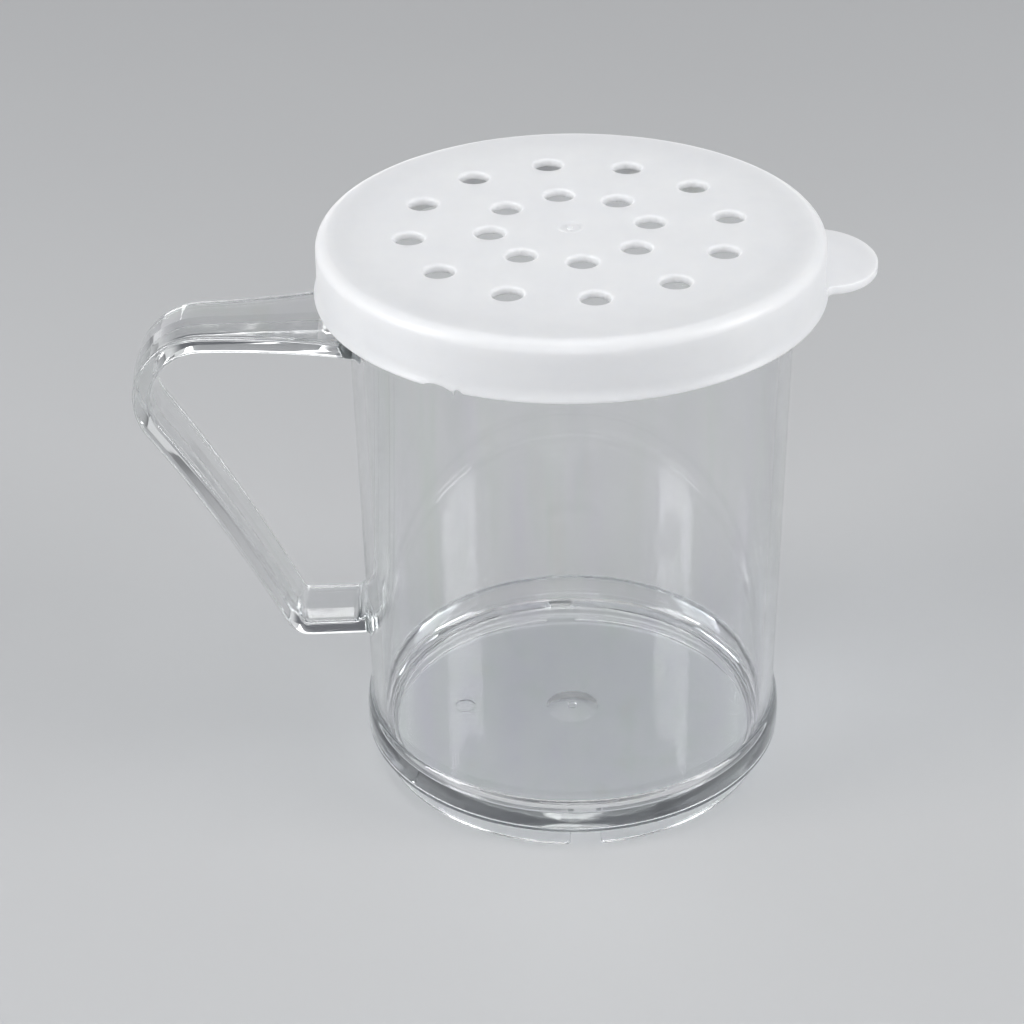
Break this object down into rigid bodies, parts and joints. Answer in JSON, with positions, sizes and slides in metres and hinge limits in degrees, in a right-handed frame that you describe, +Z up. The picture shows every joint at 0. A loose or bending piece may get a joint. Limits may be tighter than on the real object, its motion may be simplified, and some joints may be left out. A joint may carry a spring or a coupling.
{
  "type": "spice jar",
  "caption": "Clear straight-sided spice shaker with a strap side handle, a foot ring with drain notches, and a white sifting lid with a lifting tab",
  "frame": {"origin": "Centre of the footprint of the whole object's box, on the surface that the jar stands on", "axes": "+Z up along the axis of the cup, the handle towards -X and the lid's lifting tab towards +X, the drain notches on +Y and -Y"},
  "size_m": [0.1184, 0.0802, 0.095],
  "materials": {
    "clear_polycarbonate": "clear gloss",
    "milky_polyethylene": "satin"
  },
  "bodies": {
    "jar": {"jar": "clear_polycarbonate"},
    "lid": {"lid": "milky_polyethylene"}
  },
  "joints": [
    {"name": "lid_lift", "type": "slide", "parent": "jar", "child": "lid", "axis": [0, 0, 1], "range_m": [0, 0.04]}
  ]
}
